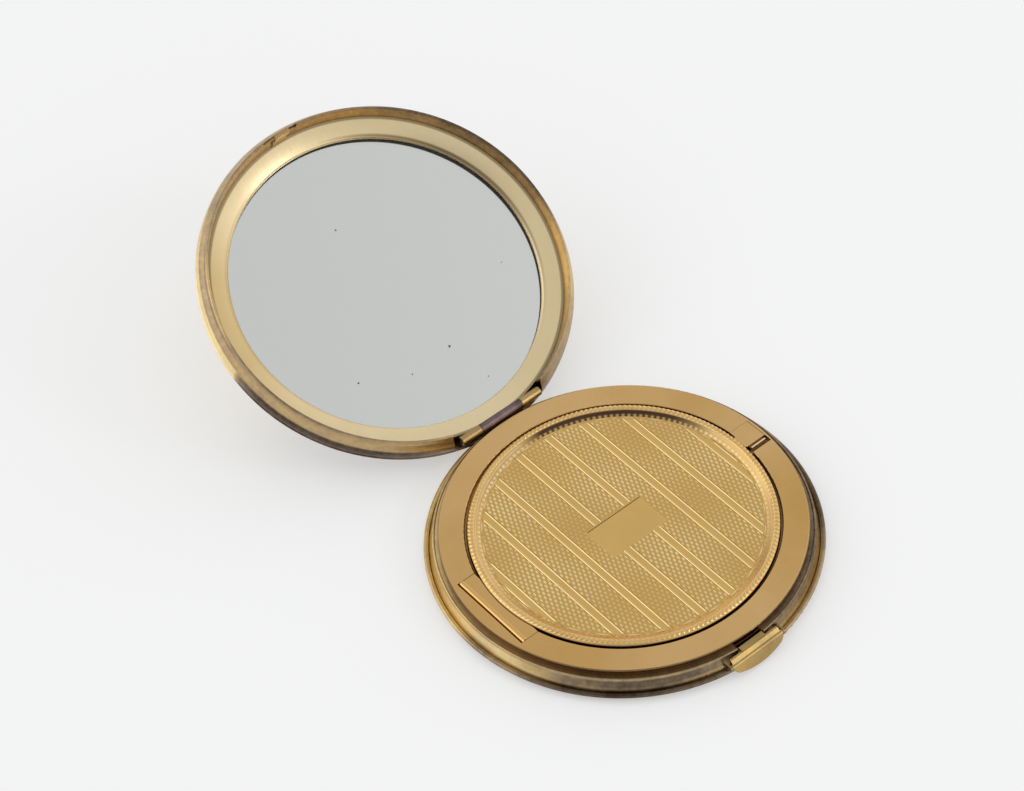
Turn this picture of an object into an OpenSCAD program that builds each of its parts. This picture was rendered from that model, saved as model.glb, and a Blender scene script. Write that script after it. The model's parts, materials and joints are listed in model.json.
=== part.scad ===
// Loose powder compact with a mirror lid, drawn open as it lies on a table.
// Z is up, the foot stands on z = 0, the hinge is at +Y and the thumb catch at -Y.
// Lengths are in millimetres and angles in degrees.

/* [Case] */
// Diameter over the rolled rims
rim_d = 75; // [73:0.5:82]
// Thickness of the pressed sheet
sheet = 0.45; // [0.4:0.05:0.5]
// Diameter of the rolled bead on both rims
bead_d = 1; // [0.9:0.05:1]
// How far the lid is open in the drawn pose
lid_open = 154.6; // [120:0.2:154.6]
// Width of the gap that the hinge takes in the walls
hinge_gap_w = 21.8; // [21.4:0.1:24]

/* [Base] */
// Height of the base bead's centre over the table
base_bead_h = 1.36; // [1.3:0.01:1.38]
// Height of the ledge that the ring stands on
ledge_h = 4; // [3.95:0.05:4.1]
// How far the wall's top edge lies inside the rim
wall_inset = 1.8; // [1.7:0.05:1.9]
// How far the flat foot lies inside the rim
foot_inset = 3.2; // [3:0.1:6]

/* [Powder well] */
// How far the ring's edge lies inside the wall
ring_inset = 1.15; // [1.1:0.05:1.3]
// Width of the flat ring
ring_w = 5; // [4.8:0.1:5.2]
// Thickness of the flat ring
ring_t = 0.95; // [0.95:0.05:1.1]
// Thickness of the powder pan
pan_t = 0.5; // [0.4:0.05:0.5]
// Gap under the pan's floor
pan_lift = 0.35; // [0.2:0.05:0.6]

/* [Powder door] */
// Gap between the door and the ring
door_gap = 0.35; // [0.3:0.05:0.45]
// Radius of the door's rounded border
border_r = 0.9; // [0.8:0.05:1]
// Width of the raised border
border_w = 1.45; // [1.3:0.05:1.6]
// Width of the slope inside the border
slope_w = 1.15; // [0.9:0.05:1.4]
// How far the field lies under the ring's top
field_drop = 0.4; // [0.3:0.05:0.45]
// Count of engraved strips across the field
strip_count = 7; // [3:2:7]
// Distance from one strip to the next
strip_pitch = 7.16; // [6.5:0.02:7.2]
// Width of the plain band between two strips
band_w = 1.65; // [1.2:0.05:2]
// Width of the plain cartouche
cartouche_w = 13; // [10:0.5:14]
// Height of the plain cartouche
cartouche_h = 8; // [6:0.5:10]
// Width of the door's hinge tab
tab_w = 18.1; // [16:0.1:18.6]
// How far the door's hinge lies inside the ring's edge
door_hinge_inset = 3.35; // [3.3:0.05:3.5]
// Diameter of the door's hinge pin
door_pin_d = 0.6; // [0.5:0.05:0.6]

/* [Door snap] */
// Length of the spring tongue that holds the door
snap_w = 4.85; // [4:0.05:5.5]
// Width of the slit at the tongue's free end
snap_slit = 1.75; // [1.5:0.05:2]

/* [Lid] */
// Height of the closed mirror over the hinge
mirror_rise = 3.28; // [3.23:0.05:3.33]
// How far the edge of the mirror that shows lies inside the rim
mirror_inset = 6.4; // [6.2:0.05:7.5]
// Thickness of the mirror glass
glass_t = 1; // [0.9:0.05:1]
// Thickness of the card behind the mirror
pad_t = 0.2; // [0.15:0.05:0.25]
// Height of the lid's shoulder over its bead
shoulder_h = 1.68; // [1.65:0.01:1.72]
// How far the shoulder's top lies inside the rim
shoulder_inset = 4.7; // [4.6:0.1:5]
// Rise of the lid's domed back
dome_rise = 0.4; // [0.2:0.05:0.8]
// Radius of the roll round the mirror
roll_r = 0.65; // [0.55:0.05:0.65]

/* [Hinge] */
// How far the main hinge lies inside the rim
hinge_inset = 1.83; // [1.75:0.01:1.9]
// Height of the main hinge over the table
hinge_h = 5.82; // [5.8:0.01:5.86]
// Diameter of the hinge barrel
barrel_d = 1.8; // [1.75:0.05:2]
// Diameter of the hinge pin
hinge_pin_d = 0.9; // [0.8:0.05:0.95]
// Gap between each end of the barrel and the lid's wall
barrel_gap = 1.2; // [1:0.1:1.8]
// Length of the middle knuckle, which the base carries
knuckle_w = 9.9; // [8:0.1:11]

/* [Catch] */
// Width of the thumb tab
thumb_w = 12.2; // [10:0.1:12.5]
// Sideways place of the catch
catch_x = -0.9; // [-1:0.1:1]
// Height of the catch pin over the table
catch_pin_h = 2.75; // [2.7:0.01:2.85]
// Diameter of the catch pin
catch_pin_d = 0.6; // [0.5:0.05:0.6]
// Depth of the lid lug's tooth under the hook
hook_bite = 0.12; // [0.08:0.02:0.14]

/* [Hidden] */

$fn = 180;
round_fn = 48;
arc_steps = 8;

// Clearances and overruns
cut = 1;             // overrun of every cut
fit = 0.02;          // gap at a seated or soldered face
run = 0.03;          // radial running clearance of a pin
side_run = 0.1;      // gap between moving sides

// Radii and heights that the pieces share
rim_r = rim_d / 2;
bead_r = bead_d / 2;
bead_cr = rim_r - bead_r;
wall_r = rim_r - wall_inset;
foot_r = rim_r - foot_inset;
hinge_y = rim_r - hinge_inset;
ring_r = wall_r - ring_inset;
hole_r = ring_r - ring_w;
door_r = hole_r - door_gap;
pan_top = ledge_h + pan_t;
ring_top = pan_top + ring_t;

// Wall of the base: a fold at its top, and a hollow side that spreads down to the bead
fold_r = 0.25;
fold_cr = wall_r - fold_r;
fold_top = ledge_h + fold_r;
wall_foot_gap = 0.08;                // gap between the wall's foot and the bead
wall_foot_rise = 0.14;               // height of the foot over the bead's centre
wall_foot_drop = 0.42;               // how far the foot's inner edge reaches further down
wall_hollow = 0.12;                  // how far the wall's side curves in
wall_foot_r = bead_cr - bead_r - wall_foot_gap;
wall_foot_h = base_bead_h + wall_foot_rise;
ledge_w = 2.4;                       // width of the ledge inside the wall

// Gap in the base's wall behind the barrel
hinge_cut_gap = 0.25;                // gap between the ring and the cut's inner side
hinge_cut_rise = 0.3;                // height of the cut's floor over the bead's centre
hinge_cut_y = ring_r + hinge_cut_gap;
hinge_cut_h = base_bead_h + hinge_cut_rise;

// Powder pan and ring
pan_wall_gap = 0.7;                  // how far the pan's wall lies inside the door's edge
pan_wall_r = door_r - pan_wall_gap;
pan_floor = sheet + pan_lift;
ring_skirt = 0.5;                    // thickness of the ring's turned edge
ring_round = 0.25;                   // radius of the ring's rolled corners
flange_r = ring_r - ring_skirt - fit;

// Door
door_lift = 0.05;                    // gap between the door's foot and the pan's flange
door_foot = pan_top + door_lift;
field_top = ring_top - field_drop;
border_cr = door_r - border_r;
border_in = door_r - border_w;
field_r = border_in - slope_w;
slope_top = field_top + sqrt(pow(border_r, 2) - pow(border_cr - border_in, 2));
groove_w = 1;                        // hollow under the pressed border
groove_h = 0.6;
line_w = 0.14;                       // bright line beside each plain band
line_h = 0.06;
cut_line_w = 0.2;                    // engraved line over the cartouche
cut_line_depth = 0.08;
cartouche_y = -1.25;                 // middle of the cartouche

// Hinge tab of the door
door_hinge_x = ring_r - door_hinge_inset;
door_pin_drop = 0.6;                 // depth of the pin under the ring's top
door_hinge_h = ring_top - door_pin_drop;
curl_r = 0.7;
curl_gap = 0.3;                      // width of the slot outside the rolled edge
tab_t = 0.5;
tab_top = ring_top - fit;
tab_y = 0.15;                        // middle of the tab
pin_seat = 1.2;                      // length of each pin end in the ring
door_pin_r = door_pin_d / 2;

// Snap: a spring tongue cut in the ring, hinged at its bend line
snap_t = 0.4;
snap_y = 2.7;                        // bend line at the tongue's fixed end
snap_nose = 0.12;                    // reach of the tongue past the ring's inner edge
snap_rim = 0.7;                      // width of ring left outside the tongue
snap_in = hole_r - snap_nose;
snap_out = ring_r - snap_rim;
snap_step_h = 0.45;                  // drop of the step in front of the nail lip
snap_lip_t = 0.3;
snap_lip_rise = 0.05;
snap_lip_in = 0.45;                  // how far the nail lip stays inside the tongue's edges
snap_hook_w = 3.2;
snap_hook = 0.3;                     // reach of the hook over the door's edge
snap_hook_t = 0.35;
strike_gap = 0.12;                   // clearance of the hook in the door's strike

// Lift spring under the door
lift_t = 0.2;
lift_w = 6;
lift_len = 3.2;
lift_h = 1.7;
lift_y = 0.15;
lift_drop = 0.55;                    // drop of the spring's root under its free end
lift_gap = 0.08;                     // gap between the free end and the door

// Lid in its closed place
mirror_z = hinge_h + mirror_rise;
lip_gap = 0.07;                      // gap between the closed lid's lip and the fold
lip_r = 0.26;                        // radius of the lip's folded edge
lip_in = 0.17;                       // how far the lip reaches inside the fold's edge
lip_z = fold_top + lip_gap;
lip_cr = wall_r - lip_in + lip_r;
skirt_t = 0.4;
skirt_step = 0.22;                   // how far the skirt's step stands out over the lip
step_rise = 1.1;                     // height of that step over the lip
skirt_top_in = 0.1;                  // how far the skirt's top lies inside the rim
swell_in = 0.85;                     // how far the foot of the skirt's swell lies inside the rim
swell_drop = 3.2;                    // depth of that foot under the mirror
swell_bow = 0.3;                     // how far the swell bows out
bead_rise = 0.07;                    // height of the lid's bead over the mirror
bezel_inset = 0.5;                   // how far the bezel's edge lies inside the wall
bezel_drop = 1.87;                   // depth of the bezel's edge under the mirror
inner_wall_drop = 0.9;               // depth of the inner wall's end under the mirror
skirt_top = rim_r - skirt_top_in;
swell_foot = rim_r - swell_in;
swell_z = mirror_z - swell_drop;
lid_bead_z = mirror_z + bead_rise;
bezel_r = wall_r - bezel_inset;
bezel_z = mirror_z - bezel_drop;
inner_wall_top = mirror_z - inner_wall_drop;
back_z = lid_bead_z + shoulder_h;
shoulder_r = rim_r - shoulder_inset;
dome_steps = 8;
show_r = rim_r - mirror_inset;
roll_cr = show_r + roll_r;
roll_lap = 0.05;                     // depth of the roll's centre under the mirror
roll_seat = 1;                       // width of the roll's top, which carries the glass
glass_lap = 1.1;                     // how far the glass runs on behind the roll
glass_r = show_r + glass_lap;
silver_t = 0.08;
pad_inset = 0.2;                     // how far the card stays inside the glass
bezel_t = 0.4;
bezel_bulge = 0.06;

// Hinge
barrel_r = barrel_d / 2;
barrel_w = hinge_gap_w - 2 * barrel_gap;
pin_r = hinge_pin_d / 2;
lid_cut_drop = 0.85;                 // depth of the lid's hinge gap under the mirror
leaf_t = 0.4;
leaf_inset = 1.05;                   // how far the lid's leaves lie inside the rim
leaf_drop = 0.5;                     // depth of their ends under the mirror
leaf_gap = 0.05;                     // clearance at a leaf's edge
lid_cut_z = mirror_z - lid_cut_drop;
leaf_r = rim_r - leaf_inset;
leaf_top = mirror_z - leaf_drop;
base_leaf_t = 0.45;
base_leaf_y = hinge_cut_y + leaf_gap;
base_leaf_in = 1.4;
lid_knuckle_in = knuckle_w / 2 + side_run;

// Thumb catch, with distances from the axis of the compact
catch_pin_r = catch_pin_d / 2;
catch_pin_out = 0.05;                // how far the pin lies outside the bead's centre
loop_t = 0.27;                       // thickness of the loop round the pin
tab_reach = 0.95;                    // how far the tab's foot stands out over the rim
catch_pin_c = bead_cr + catch_pin_out;
loop_r = catch_pin_r + run + loop_t;
tab_foot_c = rim_r + tab_reach;
tab_foot_h = 0.65;
thumb_t = 0.42;
thumb_round = 2;                     // radius of the tab's lower corners
thumb_bow_r = 14;                    // radius of its lower edge
arm_side = 0.4;                      // how far the arm's plate stays inside the tab's ends
arm_gap = 0.28;                      // gap between the arm and the wall
arm_drop = 0.15;                     // depth of the arm's bend under the ledge
hook_w = 5.6;
hook_drop = 0.28;                    // depth of the hook under the ledge
hook_t = 0.42;
hook_reach = 0.5;                    // reach of the hook inside the wall
arm_w = thumb_w - 2 * arm_side;
arm_c = wall_r + arm_gap;
arm_h = ledge_h - arm_drop;
hook_h = ledge_h - hook_drop;
hook_tip = wall_r - hook_reach;
notch_w = 6.2;                       // cut in the fold and ledge around the hook
notch_drop = 0.85;                   // depth of the notch's floor under the ledge
notch_gap = 0.05;
notch_floor = ledge_h - notch_drop;
notch_r = ring_r + notch_gap;
ear_t = 0.35;
ear_edge = 0.3;                      // sheet left round the pin in an ear
ear_root = 1;                        // how far an ear is drawn into the wall that trims it
ear_r = catch_pin_r + ear_edge;

// Lug of the lid
lug_gap = 0.14;                      // gap between the lug and the ring
lug_t = 0.34;
lug_w = 3.6;
lug_foot_gap = 0.12;                 // gap between the lug and the notch's floor
lug_knee_rise = 0.7;                 // height of the lug's knee over the ledge
lug_flare = 0.55;                    // height of the flare over the knee
lug_top_drop = 2.3;                  // depth of the lug's top under the mirror
tooth_gap = 0.06;                    // gap between the tooth and the hook
tooth_edge = 0.1;
lug_r = ring_r + lug_gap;
lug_low = notch_floor + lug_foot_gap;
lug_knee = ledge_h + lug_knee_rise;
lug_top = mirror_z - lug_top_drop;
lip_notch_w = 8.2;
lip_notch_h = 1;

// Flat wire spring behind the thumb tab
spring_t = 0.2;
spring_half = 4.4;
spring_inset = 1.15;                 // how far the spring's ends lie inside the rim
spring_bow_inset = 0.55;             // how far its middle lies inside the rim
spring_gap = 0.05;                   // gap between the spring and the bead
spring_in = rim_r - spring_inset;
spring_out = rim_r - spring_bow_inset;
spring_z = base_bead_h + bead_r + spring_gap;

// A radius of the lid's inner wall at a closed height
function inner_wall_r(z) = lip_cr - lip_r
    - (z - lip_z - lip_r) * (lip_cr - lip_r - bezel_r - fit) / (bezel_z - lip_z - lip_r);

// Points on an arc about c
function arc_points(c, r, a, b) =
    [for (i = [0:arc_steps]) let (t = a + (b - a) * i / arc_steps) c + r * [cos(t), sin(t)]];

// Points from p to q that bulge to one side by h, as a flat parabola
function bulged(p, q, h) =
    [for (i = [0:arc_steps]) let (t = i / arc_steps, d = (q - p) / norm(q - p))
        p + t * (q - p) + 4 * h * t * (1 - t) * [-d[1], d[0]]];

// Points up a side of the base's wall, which lies outside the wall's middle by extra
function wall_side(extra) =
    bulged([wall_foot_r + extra, wall_foot_h], [wall_r + extra, ledge_h], wall_hollow);

// Places a lid piece, drawn closed, in the open pose
module opened() {
    translate([0, hinge_y, hinge_h]) rotate([-lid_open, 0, 0])
        translate([0, -hinge_y, -hinge_h]) children();
}

// A box given by its lowest and highest corners
module block(a, b) { translate(a) cube(b - a); }

// A rod along X between two places
module rod_x(x0, x1, y, z, r) {
    translate([x0, y, z]) rotate([0, 90, 0]) cylinder(h = x1 - x0, r = r, $fn = round_fn);
}

// A side view, with distance from the axis to the right, drawn at the -Y side and w wide
module at_catch(w) {
    translate([catch_x + w / 2, 0, 0]) rotate([90, 0, -90]) linear_extrude(w) children();
}

// A sector of a turned shape at the -Y side, w wide at the wall
module turned_at_catch(w) {
    span = w / wall_r * 180 / PI;
    rotate([0, 0, -90 + catch_x / wall_r * 180 / PI - span / 2]) rotate_extrude(angle = span) children();
}

// The point where a line from p touches a bead of centre c
function touching(p, c, side) =
    let (d = c - p, a = atan2(d[1], d[0]) + side * asin(bead_r / norm(d)),
        l = sqrt(pow(norm(d), 2) - pow(bead_r, 2))) p + l * [cos(a), sin(a)];

// A pressed sheet whose outer side runs along the points and on to a bead of centre c
module rim_sheet(points, c, side) {
    p = points[len(points) - 1];
    q = touching(p, c, side);
    n = side * sheet * [-(q - p)[1], (q - p)[0]] / norm(q - p);
    inside = [for (i = [len(points) - 1:-1:0]) points[i] - [0, side * sheet]];
    outline = concat(points, [q, q - n], inside);
    polygon(side < 0 ? outline : [for (i = [len(outline) - 1:-1:0]) outline[i]]);
    translate(c) circle(r = bead_r, $fn = round_fn);
}

module base_cover() {
    color([0.55, 0.45, 0.27]) rotate_extrude()
        rim_sheet([[0, 0], [foot_r, 0]], [bead_cr, base_bead_h], -1);
}

module base_frame() {
    ledge = [[wall_r - ledge_w, ledge_h], [wall_r - ledge_w, ledge_h - sheet]];
    inner_side = [for (i = [arc_steps - 1:-1:1]) wall_side(-sheet)[i]];
    inner_foot = [[wall_foot_r - sheet, wall_foot_h - wall_foot_drop]];
    color([0.45, 0.38, 0.25]) difference() {
        rotate_extrude()
            polygon(concat(wall_side(0), arc_points([fold_cr, ledge_h], fold_r, 0, 180), ledge,
                [[inner_side[0][0], ledge_h - sheet]], inner_side, inner_foot));
        block([-hinge_gap_w / 2, hinge_cut_y, hinge_cut_h], [hinge_gap_w / 2, rim_r + cut, fold_top + cut]);
        turned_at_catch(notch_w) translate([notch_r, notch_floor]) square([rim_r - notch_r, fold_top]);
    }
}

// A knuckle of the main hinge between two places, without its leaf
module barrel(x0, x1) { rod_x(x0, x1, hinge_y, hinge_h, barrel_r); }

module hinge_bore() { rod_x(-barrel_w, barrel_w, hinge_y, hinge_h, pin_r + run); }

module base_knuckle() {
    foot_z = ledge_h - sheet - fit;
    color([0.4, 0.33, 0.33]) difference() {
        union() {
            barrel(-knuckle_w / 2, knuckle_w / 2);
            block([-knuckle_w / 2, base_leaf_y, foot_z - base_leaf_t],
                [knuckle_w / 2, base_leaf_y + base_leaf_t, hinge_h - pin_r]);
            block([-knuckle_w / 2, base_leaf_y - base_leaf_in, foot_z - base_leaf_t],
                [knuckle_w / 2, base_leaf_y + base_leaf_t, foot_z]);
        }
        hinge_bore();
    }
}

module hinge_pin() {
    color([0.6, 0.55, 0.45]) rod_x(-barrel_w / 2, barrel_w / 2, hinge_y, hinge_h, pin_r);
}

module frame_ring() {
    color([0.76, 0.6, 0.36]) difference() {
        rotate_extrude() {
            translate([hole_r, pan_top]) square([ring_w - ring_round, ring_t - ring_round]);
            translate([hole_r + ring_round, pan_top]) square([ring_w - 2 * ring_round, ring_t]);
            translate([ring_r - ring_skirt, ledge_h]) square([ring_skirt, pan_t + ring_t - ring_round]);
            for (r = [hole_r + ring_round, ring_r - ring_round])
                translate([r, ring_top - ring_round]) circle(r = ring_round, $fn = round_fn);
        }
        block([-door_hinge_x - curl_r - curl_gap, tab_y - tab_w / 2 - side_run, ledge_h],
            [-hole_r + 2 * cut, tab_y + tab_w / 2 + side_run, ring_top + cut]);
        translate([-door_hinge_x, tab_y + tab_w / 2 + pin_seat + side_run, door_hinge_h]) rotate([90, 0, 0])
            cylinder(h = tab_w + 2 * pin_seat + 2 * side_run, r = door_pin_r + fit, $fn = round_fn);
        block([hole_r - 2 * cut, snap_y - snap_w - snap_slit, ledge_h],
            [snap_out + side_run, snap_y + fit, ring_top + cut]);
    }
}

module powder_pan() {
    color([0.72, 0.58, 0.35]) difference() {
        rotate_extrude() {
            translate([0, pan_floor]) square([pan_wall_r, pan_t]);
            translate([pan_wall_r - pan_t, pan_floor]) square([pan_t, pan_top - pan_floor]);
            translate([pan_wall_r - pan_t, ledge_h]) square([flange_r - pan_wall_r + pan_t, pan_t]);
        }
        block([-door_hinge_x - curl_r - side_run, tab_y - tab_w / 2 - side_run, ledge_h - cut],
            [-door_hinge_x + curl_r + side_run, tab_y + tab_w / 2 + side_run, pan_top + cut]);
    }
}

// The field's bright lines, two beside each plain band
module band_lines() {
    for (i = [0:strip_count], s = [-1, 1]) {
        x = (i - strip_count / 2) * strip_pitch + s * (band_w - line_w) / 2;
        translate([x - line_w / 2, -field_r]) square([line_w, 2 * field_r]);
    }
}

// The top h of the plain cartouche
module cartouche(h) {
    translate([-cartouche_w / 2, cartouche_y + cartouche_h / 2 - h]) square([cartouche_w, h]);
}

module door_curl() {
    translate([-door_hinge_x, tab_y + tab_w / 2, door_hinge_h]) rotate([90, 0, 0])
        cylinder(h = tab_w, r = curl_r, $fn = round_fn);
}

module powder_door() {
    color([0.78, 0.65, 0.38]) difference() {
        union() {
            rotate_extrude() difference() {
                union() {
                    translate([0, door_foot]) square([door_r, field_top - door_foot]);
                    translate([border_cr, field_top]) circle(r = border_r, $fn = round_fn);
                    polygon([[field_r, field_top], [border_in, slope_top], [border_cr, field_top]]);
                }
                translate([0, door_foot - border_r]) square([door_r + cut, border_r]);
                translate([border_cr - groove_w / 2, door_foot - cut]) square([groove_w, groove_h + cut]);
            }
            translate([0, 0, field_top - fit]) linear_extrude(line_h + fit) difference() {
                intersection() { band_lines(); circle(r = field_r); }
                cartouche(cartouche_h);
            }
            door_curl();
            block([-door_hinge_x, tab_y - tab_w / 2, tab_top - tab_t], [-border_cr, tab_y + tab_w / 2, tab_top]);
        }
        translate([0, 0, field_top - cut_line_depth]) linear_extrude(cut) cartouche(cut_line_w);
        translate([-door_hinge_x, tab_y + tab_w, door_hinge_h]) rotate([90, 0, 0])
            cylinder(h = 2 * tab_w, r = door_pin_r + run, $fn = round_fn);
        block([snap_in - snap_hook - strike_gap, snap_y - snap_w, ring_top - snap_hook_t - strike_gap],
            [door_r + cut, snap_y - snap_w + snap_hook_w + 2 * strike_gap, ring_top + cut]);
    }
}

module door_hinge_pin() {
    color([0.6, 0.55, 0.45]) translate([-door_hinge_x, tab_y + tab_w / 2 + pin_seat, door_hinge_h])
        rotate([90, 0, 0]) cylinder(h = tab_w + 2 * pin_seat, r = door_pin_r, $fn = round_fn);
}

module door_lift_spring() {
    x = -sqrt(pow(pan_wall_r - pan_t, 2) - pow(lift_w / 2 + lift_y, 2)) + fit;
    z = door_foot - lift_gap;
    root_z = z - lift_drop;
    color([0.7, 0.6, 0.4]) translate([0, lift_y + lift_w / 2, 0]) rotate([90, 0, 0]) linear_extrude(lift_w)
        polygon([[x, root_z - lift_h], [x + lift_t, root_z - lift_h], [x + lift_t, root_z - lift_t],
            [x + lift_len, z - lift_t], [x + lift_len, z], [x, root_z]]);
}

module door_snap() {
    free_y = snap_y - snap_w;
    lip_y = free_y - snap_slit / 2;
    color([0.8, 0.66, 0.42]) {
        block([snap_in, free_y, ring_top - snap_t], [snap_out, snap_y - fit, ring_top]);
        block([snap_in + snap_lip_in, lip_y, ring_top - snap_t - snap_step_h],
            [snap_out - snap_lip_in, free_y + snap_t, ring_top - snap_step_h]);
        block([snap_in + snap_lip_in, free_y, ring_top - snap_t - snap_step_h],
            [snap_out - snap_lip_in, free_y + snap_t, ring_top]);
        block([snap_in + snap_lip_in, lip_y, ring_top - snap_t - snap_step_h],
            [snap_out - snap_lip_in, lip_y + snap_lip_t, ring_top + snap_lip_rise]);
        block([snap_in - snap_hook, free_y + strike_gap, ring_top - snap_hook_t],
            [snap_out, free_y + strike_gap + snap_hook_w, ring_top]);
    }
}

// Side view of the thumb tab with its loop
module tab_side() {
    polygon([[catch_pin_c + loop_r, catch_pin_h], [tab_foot_c, tab_foot_h],
        [tab_foot_c - thumb_t, tab_foot_h], [catch_pin_c + loop_r - thumb_t, catch_pin_h]]);
    translate([catch_pin_c, catch_pin_h]) circle(r = loop_r, $fn = round_fn);
}

// Front view of the thumb tab, with a bowed lower edge and rounded corners
module tab_front() {
    side_x = thumb_w / 2 - thumb_round;
    bow_c = [0, tab_foot_h + thumb_bow_r];
    corner_z = bow_c[1] - sqrt(pow(thumb_bow_r - thumb_round, 2) - pow(side_x, 2));
    turn = atan2(corner_z - bow_c[1], side_x);
    polygon(concat(arc_points(bow_c, thumb_bow_r, -180 - turn, turn),
        arc_points([side_x, corner_z], thumb_round, turn, 0),
        [[thumb_w / 2, corner_z + ledge_h], [-thumb_w / 2, corner_z + ledge_h]],
        arc_points([-side_x, corner_z], thumb_round, -180, -180 - turn)));
}

module thumb_catch() {
    color([0.66, 0.54, 0.32]) difference() {
        union() {
            intersection() {
                at_catch(thumb_w) tab_side();
                translate([catch_x, -rim_r + 2 * cut, 0]) rotate([90, 0, 0]) linear_extrude(4 * cut) tab_front();
            }
            at_catch(arm_w) polygon([[catch_pin_c - loop_r + fit, catch_pin_h], [arm_c, arm_h - fold_r],
                [arm_c, arm_h], [arm_c + skirt_t, arm_h], [catch_pin_c, catch_pin_h + loop_r - fit]]);
            at_catch(hook_w) polygon([[arm_c, arm_h - fold_r], [arm_c, hook_h], [hook_tip, hook_h],
                [hook_tip, hook_h + hook_t], [arm_c + skirt_t, hook_h + hook_t], [arm_c + skirt_t, arm_h - fold_r]]);
        }
        rod_x(catch_x - thumb_w, catch_x + thumb_w, -catch_pin_c, catch_pin_h, catch_pin_r + run);
    }
}

module catch_pin() {
    half = thumb_w / 2 + side_run + ear_t;
    color([0.6, 0.55, 0.45]) rod_x(catch_x - half, catch_x + half, -catch_pin_c, catch_pin_h, catch_pin_r);
}

module catch_ears() {
    color([0.5, 0.42, 0.27]) difference() {
        for (s = [-1, 1]) translate([s * (thumb_w + ear_t + 2 * side_run) / 2, 0, 0]) at_catch(ear_t) {
            translate([catch_pin_c, catch_pin_h]) circle(r = ear_r, $fn = round_fn);
            translate([wall_r - ear_root, catch_pin_h - ear_r]) square([catch_pin_c - wall_r + ear_root, 2 * ear_r]);
        }
        rotate_extrude() polygon(concat([[0, 0], [wall_foot_r + fit, 0]], wall_side(fit), [[0, ledge_h]]));
        rod_x(catch_x - thumb_w, catch_x + thumb_w, -catch_pin_c, catch_pin_h, catch_pin_r + fit);
    }
}

module catch_spring() {
    sag = spring_out - spring_in;
    bow_r = (pow(spring_half, 2) + pow(sag, 2)) / (2 * sag);
    color([0.6, 0.55, 0.45]) translate([catch_x, -spring_out + bow_r, spring_z]) linear_extrude(spring_t)
        intersection() {
            difference() { circle(r = bow_r); circle(r = bow_r - spring_t); }
            translate([-spring_half, -bow_r - cut]) square([2 * spring_half, bow_r]);
        }
}

module lid_cover() {
    dome = [for (i = [0:dome_steps]) let (t = i / dome_steps)
        [shoulder_r * t, back_z + dome_rise * (1 - t * t)]];
    color([0.6, 0.48, 0.28]) opened() rotate_extrude() rim_sheet(dome, [bead_cr, lid_bead_z], 1);
}

module lid_frame() {
    low = lip_z + lip_r;
    step_z = lip_z + step_rise;
    top_z = lid_bead_z - bead_r - fit;
    inner_r = bezel_r + fit;
    swell = bulged([skirt_top, top_z], [swell_foot, swell_z], swell_bow);
    outer_side = concat(swell, [[lip_cr + lip_r + skirt_step, step_z]]);
    inner_side = [[inner_r, bezel_z], [inner_r, inner_wall_top]];
    hollow_side = concat([[inner_r + skirt_t, inner_wall_top], [inner_r + skirt_t, bezel_z], [lip_cr, low + lip_r]],
        [for (i = [arc_steps:-1:0]) swell[i] - [skirt_t, 0]]);
    color([0.52, 0.42, 0.25]) opened() difference() {
        rotate_extrude()
            polygon(concat(outer_side, arc_points([lip_cr, low], lip_r, 0, -180), inner_side, hollow_side));
        block([-hinge_gap_w / 2, 0, 0], [hinge_gap_w / 2, rim_r + cut, lid_cut_z]);
        turned_at_catch(lip_notch_w) translate([bezel_r - cut, 0])
            square([rim_r - bezel_r + 2 * cut, lip_z + lip_notch_h]);
    }
}

module mirror_bezel() {
    seat_z = mirror_z - fit;
    roll_c = [roll_cr, seat_z - roll_lap];
    edge = [bezel_r, bezel_z];
    to_roll = roll_c - edge;
    turn = atan2(to_roll[1], to_roll[0]) + asin(roll_r / norm(to_roll));
    roll = arc_points(roll_c, roll_r, 180, turn + 90);
    band = bulged(roll[arc_steps], edge, -bezel_bulge);
    back = [for (i = [arc_steps:-1:1]) band[i] + [0, bezel_t]];
    color([0.84, 0.73, 0.5]) opened() rotate_extrude()
        polygon(concat([[show_r, seat_z]], roll, band, back, [[show_r + roll_seat, seat_z]]));
}

module mirror_glass() {
    color([0.8, 0.82, 0.82]) opened() translate([0, 0, mirror_z]) cylinder(h = glass_t, r = glass_r);
}

module mirror_silvering() {
    color([0.75, 0.76, 0.76]) opened() translate([0, 0, mirror_z + glass_t]) cylinder(h = silver_t, r = glass_r);
}

module mirror_pad() {
    color([0.5, 0.45, 0.38]) opened() translate([0, 0, mirror_z + glass_t + silver_t])
        cylinder(h = pad_t, r = glass_r - pad_inset);
}

// A knuckle of the lid: side is -1 for the left and 1 for the right
module lid_knuckle(side) {
    span = (barrel_w / 2 - lid_knuckle_in) / leaf_r * 180 / PI;
    start = 90 - side * asin((lid_knuckle_in + barrel_w / 2) / 2 / leaf_r) - span / 2;
    low = hinge_h + pin_r + run + leaf_gap;
    color([0.78, 0.63, 0.36]) opened() difference() {
        union() {
            if (side < 0) barrel(-barrel_w / 2, -lid_knuckle_in);
            else barrel(lid_knuckle_in, barrel_w / 2);
            rotate([0, 0, start]) rotate_extrude(angle = span)
                translate([leaf_r - leaf_t, low]) square([leaf_t, leaf_top - low]);
        }
        hinge_bore();
    }
}

module lid_knuckle_left() { lid_knuckle(-1); }

module lid_knuckle_right() { lid_knuckle(1); }

module lid_catch_lug() {
    tooth_r = hook_tip + hook_bite;
    knee = lug_knee + lug_flare;
    color([0.7, 0.57, 0.34]) opened() turned_at_catch(lug_w)
        polygon([[lug_r, lug_low], [tooth_r, lug_low], [tooth_r, lug_low + tooth_edge],
            [lug_r + lug_t, hook_h - tooth_gap], [lug_r + lug_t, lug_knee],
            [inner_wall_r(knee) - fit, knee], [inner_wall_r(lug_top) - fit, lug_top],
            [inner_wall_r(lug_top) - lug_t, lug_top], [inner_wall_r(knee) - lug_t, knee], [lug_r, lug_knee]]);
}

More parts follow.
